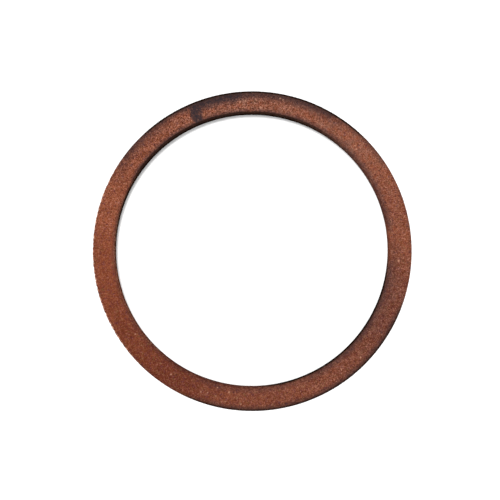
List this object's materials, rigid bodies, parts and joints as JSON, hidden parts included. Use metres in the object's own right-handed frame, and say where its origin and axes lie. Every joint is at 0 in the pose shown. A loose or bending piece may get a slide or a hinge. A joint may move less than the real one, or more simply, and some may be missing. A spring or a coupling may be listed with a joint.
{
  "type": "flat washer",
  "caption": "Thin flat copper sealing ring: a wide round bore, parallel faces and slightly rounded edges.",
  "frame": {"origin": "centre of the bore, in the plane of the underside", "axes": "+Z along the bore's axis, from the underside to the upper face; X and Y lie in the underside"},
  "size_m": [0.044, 0.044, 0.002],
  "materials": {
    "tarnished_copper": "annealed copper, tarnished brown, with a fine dull grain and a darker rim"
  },
  "bodies": {
    "root": {"copper_washer": "tarnished_copper"}
  },
  "joints": []
}
